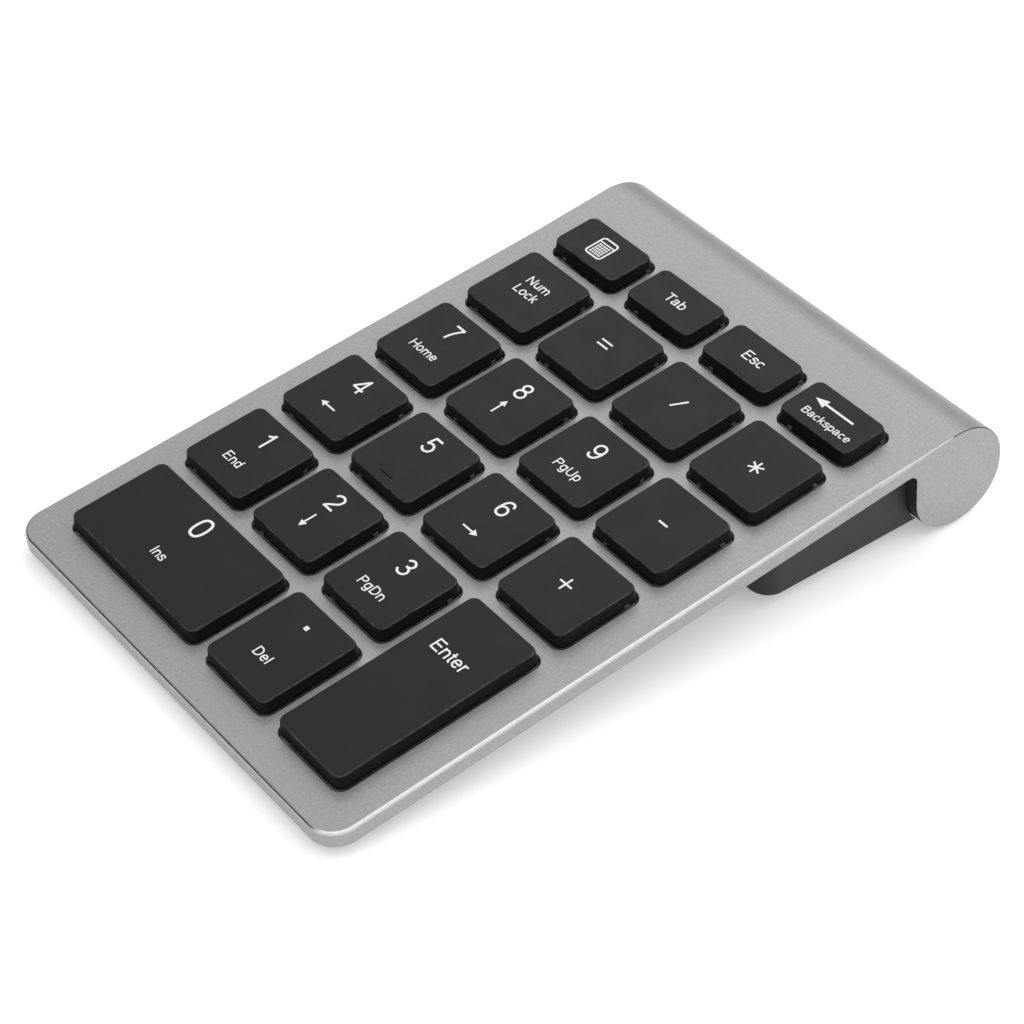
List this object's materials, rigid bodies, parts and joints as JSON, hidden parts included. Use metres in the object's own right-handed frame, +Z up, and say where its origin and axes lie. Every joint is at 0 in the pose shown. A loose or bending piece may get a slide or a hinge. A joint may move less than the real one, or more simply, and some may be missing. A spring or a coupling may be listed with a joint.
{
  "type": "wireless numeric keypad",
  "caption": "Thin silver numeric keypad with low black scissor keys, a comma-shaped battery tube along the rear edge and a dark electronics box beneath.",
  "frame": {"origin": "on the desk plane under the middle of the keypad's bounding box", "axes": "+X to the right and +Y to the rear as the user sits, +Z up from the desk; the panel is tipped up 7 degrees at the rear"},
  "size_m": [0.086, 0.133, 0.0213],
  "materials": {
    "silver_paint": "metallic silver paint over moulded plastic, fine grain",
    "dark_case": "dark grey moulded plastic, satin",
    "feet": "soft black rubber",
    "screw_steel": "zinc plated steel",
    "plate_steel": "pressed sheet steel",
    "membrane_film": "printed polyester film",
    "dome_rubber": "translucent silicone rubber",
    "spring_wire": "bent spring steel wire",
    "board": "glass fibre board with green solder mask",
    "switch_housing": "pressed tin plated shell",
    "switch_knob": "black moulded plastic",
    "cell": "plain printed sleeve over a metal can",
    "contact_metal": "nickel plated sheet",
    "black_key": "matte black moulded plastic with white printed legends",
    "link_plastic": "grey acetal"
  },
  "bodies": {
    "case": {"top_case": "silver_paint", "bottom_case": "dark_case", "rubber_feet": "feet", "case_screws": "screw_steel", "backplate": "plate_steel", "membrane": "membrane_film", "rubber_domes": "dome_rubber", "circuit_board": "board", "power_switch_body": "switch_housing", "battery": "cell", "battery_contacts": "contact_metal", "scissor_0": "link_plastic", "scissor_decimal": "link_plastic", "scissor_enter": "link_plastic", "scissor_1": "link_plastic", "scissor_2": "link_plastic", "scissor_3": "link_plastic", "scissor_4": "link_plastic", "scissor_5": "link_plastic", "scissor_6": "link_plastic", "scissor_plus": "link_plastic", "scissor_7": "link_plastic", "scissor_8": "link_plastic", "scissor_9": "link_plastic", "scissor_minus": "link_plastic", "scissor_num_lock": "link_plastic", "scissor_equals": "link_plastic", "scissor_divide": "link_plastic", "scissor_multiply": "link_plastic", "scissor_calculator": "link_plastic", "scissor_tab": "link_plastic", "scissor_escape": "link_plastic", "scissor_backspace": "link_plastic"},
    "key_0": {"keycap_0": "black_key"},
    "key_decimal": {"keycap_decimal": "black_key"},
    "key_enter": {"keycap_enter": "black_key"},
    "key_1": {"keycap_1": "black_key"},
    "key_2": {"keycap_2": "black_key"},
    "key_3": {"keycap_3": "black_key"},
    "key_4": {"keycap_4": "black_key"},
    "key_5": {"keycap_5": "black_key"},
    "key_6": {"keycap_6": "black_key"},
    "key_plus": {"keycap_plus": "black_key"},
    "key_7": {"keycap_7": "black_key"},
    "key_8": {"keycap_8": "black_key"},
    "key_9": {"keycap_9": "black_key"},
    "key_minus": {"keycap_minus": "black_key"},
    "key_num_lock": {"keycap_num_lock": "black_key"},
    "key_equals": {"keycap_equals": "black_key"},
    "key_divide": {"keycap_divide": "black_key"},
    "key_multiply": {"keycap_multiply": "black_key"},
    "key_calculator": {"keycap_calculator": "black_key"},
    "key_tab": {"keycap_tab": "black_key"},
    "key_escape": {"keycap_escape": "black_key"},
    "key_backspace": {"keycap_backspace": "black_key"},
    "stabilizer_0": {"stabilizer_bar_0": "spring_wire"},
    "stabilizer_enter": {"stabilizer_bar_enter": "spring_wire"},
    "power_switch": {"power_switch_knob": "switch_knob"},
    "battery_cover": {"battery_cap": "silver_paint", "cap_contact_spring": "contact_metal"}
  },
  "joints": [
    {"name": "press_0", "type": "slide", "parent": "case", "child": "key_0", "axis": [0, 0.1219, -0.9925], "range_m": [0, 0.0018], "stiffness_N_per_m": 220, "springref_m": -0.0008, "deforming": ["scissor_0", "rubber_domes"]},
    {"name": "press_decimal", "type": "slide", "parent": "case", "child": "key_decimal", "axis": [0, 0.1219, -0.9925], "range_m": [0, 0.0018], "stiffness_N_per_m": 220, "springref_m": -0.0008, "deforming": ["scissor_decimal", "rubber_domes"]},
    {"name": "press_enter", "type": "slide", "parent": "case", "child": "key_enter", "axis": [0, 0.1219, -0.9925], "range_m": [0, 0.0018], "stiffness_N_per_m": 220, "springref_m": -0.0008, "deforming": ["scissor_enter", "rubber_domes"]},
    {"name": "press_1", "type": "slide", "parent": "case", "child": "key_1", "axis": [0, 0.1219, -0.9925], "range_m": [0, 0.0018], "stiffness_N_per_m": 220, "springref_m": -0.0008, "deforming": ["scissor_1", "rubber_domes"]},
    {"name": "press_2", "type": "slide", "parent": "case", "child": "key_2", "axis": [0, 0.1219, -0.9925], "range_m": [0, 0.0018], "stiffness_N_per_m": 220, "springref_m": -0.0008, "deforming": ["scissor_2", "rubber_domes"]},
    {"name": "press_3", "type": "slide", "parent": "case", "child": "key_3", "axis": [0, 0.1219, -0.9925], "range_m": [0, 0.0018], "stiffness_N_per_m": 220, "springref_m": -0.0008, "deforming": ["scissor_3", "rubber_domes"]},
    {"name": "press_4", "type": "slide", "parent": "case", "child": "key_4", "axis": [0, 0.1219, -0.9925], "range_m": [0, 0.0018], "stiffness_N_per_m": 220, "springref_m": -0.0008, "deforming": ["scissor_4", "rubber_domes"]},
    {"name": "press_5", "type": "slide", "parent": "case", "child": "key_5", "axis": [0, 0.1219, -0.9925], "range_m": [0, 0.0018], "stiffness_N_per_m": 220, "springref_m": -0.0008, "deforming": ["scissor_5", "rubber_domes"]},
    {"name": "press_6", "type": "slide", "parent": "case", "child": "key_6", "axis": [0, 0.1219, -0.9925], "range_m": [0, 0.0018], "stiffness_N_per_m": 220, "springref_m": -0.0008, "deforming": ["scissor_6", "rubber_domes"]},
    {"name": "press_plus", "type": "slide", "parent": "case", "child": "key_plus", "axis": [0, 0.1219, -0.9925], "range_m": [0, 0.0018], "stiffness_N_per_m": 220, "springref_m": -0.0008, "deforming": ["scissor_plus", "rubber_domes"]},
    {"name": "press_7", "type": "slide", "parent": "case", "child": "key_7", "axis": [0, 0.1219, -0.9925], "range_m": [0, 0.0018], "stiffness_N_per_m": 220, "springref_m": -0.0008, "deforming": ["scissor_7", "rubber_domes"]},
    {"name": "press_8", "type": "slide", "parent": "case", "child": "key_8", "axis": [0, 0.1219, -0.9925], "range_m": [0, 0.0018], "stiffness_N_per_m": 220, "springref_m": -0.0008, "deforming": ["scissor_8", "rubber_domes"]},
    {"name": "press_9", "type": "slide", "parent": "case", "child": "key_9", "axis": [0, 0.1219, -0.9925], "range_m": [0, 0.0018], "stiffness_N_per_m": 220, "springref_m": -0.0008, "deforming": ["scissor_9", "rubber_domes"]},
    {"name": "press_minus", "type": "slide", "parent": "case", "child": "key_minus", "axis": [0, 0.1219, -0.9925], "range_m": [0, 0.0018], "stiffness_N_per_m": 220, "springref_m": -0.0008, "deforming": ["scissor_minus", "rubber_domes"]},
    {"name": "press_num_lock", "type": "slide", "parent": "case", "child": "key_num_lock", "axis": [0, 0.1219, -0.9925], "range_m": [0, 0.0018], "stiffness_N_per_m": 220, "springref_m": -0.0008, "deforming": ["scissor_num_lock", "rubber_domes"]},
    {"name": "press_equals", "type": "slide", "parent": "case", "child": "key_equals", "axis": [0, 0.1219, -0.9925], "range_m": [0, 0.0018], "stiffness_N_per_m": 220, "springref_m": -0.0008, "deforming": ["scissor_equals", "rubber_domes"]},
    {"name": "press_divide", "type": "slide", "parent": "case", "child": "key_divide", "axis": [0, 0.1219, -0.9925], "range_m": [0, 0.0018], "stiffness_N_per_m": 220, "springref_m": -0.0008, "deforming": ["scissor_divide", "rubber_domes"]},
    {"name": "press_multiply", "type": "slide", "parent": "case", "child": "key_multiply", "axis": [0, 0.1219, -0.9925], "range_m": [0, 0.0018], "stiffness_N_per_m": 220, "springref_m": -0.0008, "deforming": ["scissor_multiply", "rubber_domes"]},
    {"name": "press_calculator", "type": "slide", "parent": "case", "child": "key_calculator", "axis": [0, 0.1219, -0.9925], "range_m": [0, 0.0018], "stiffness_N_per_m": 220, "springref_m": -0.0008, "deforming": ["scissor_calculator", "rubber_domes"]},
    {"name": "press_tab", "type": "slide", "parent": "case", "child": "key_tab", "axis": [0, 0.1219, -0.9925], "range_m": [0, 0.0018], "stiffness_N_per_m": 220, "springref_m": -0.0008, "deforming": ["scissor_tab", "rubber_domes"]},
    {"name": "press_escape", "type": "slide", "parent": "case", "child": "key_escape", "axis": [0, 0.1219, -0.9925], "range_m": [0, 0.0018], "stiffness_N_per_m": 220, "springref_m": -0.0008, "deforming": ["scissor_escape", "rubber_domes"]},
    {"name": "press_backspace", "type": "slide", "parent": "case", "child": "key_backspace", "axis": [0, 0.1219, -0.9925], "range_m": [0, 0.0018], "stiffness_N_per_m": 220, "springref_m": -0.0008, "deforming": ["scissor_backspace", "rubber_domes"]},
    {"name": "stabilizer_turn_0", "type": "hinge", "parent": "case", "child": "stabilizer_0", "pos_m": [-0.019, -0.04474, 0.00604], "axis": [1, 0, 0], "range_deg": [0, 13.12]},
    {"name": "stabilizer_turn_enter", "type": "hinge", "parent": "case", "child": "stabilizer_enter", "pos_m": [0.0226, -0.04116, 0.00647], "axis": [0, 0.9925, 0.1219], "range_deg": [0, 13.12]},
    {"name": "power_switch_slide", "type": "slide", "parent": "case", "child": "power_switch", "axis": [0, 0.9925, 0.1219], "range_m": [0, 0.0024]},
    {"name": "battery_cap_turn", "type": "hinge", "parent": "case", "child": "battery_cover", "pos_m": [-0.043, 0.05718, 0.00963], "axis": [1, 0, 0], "range_deg": [0, 60]}
  ],
  "couplings": [
    {"joint": "stabilizer_turn_0", "follows": "press_0", "rad_per_m": 126.72},
    {"joint": "stabilizer_turn_enter", "follows": "press_enter", "rad_per_m": 126.72}
  ]
}
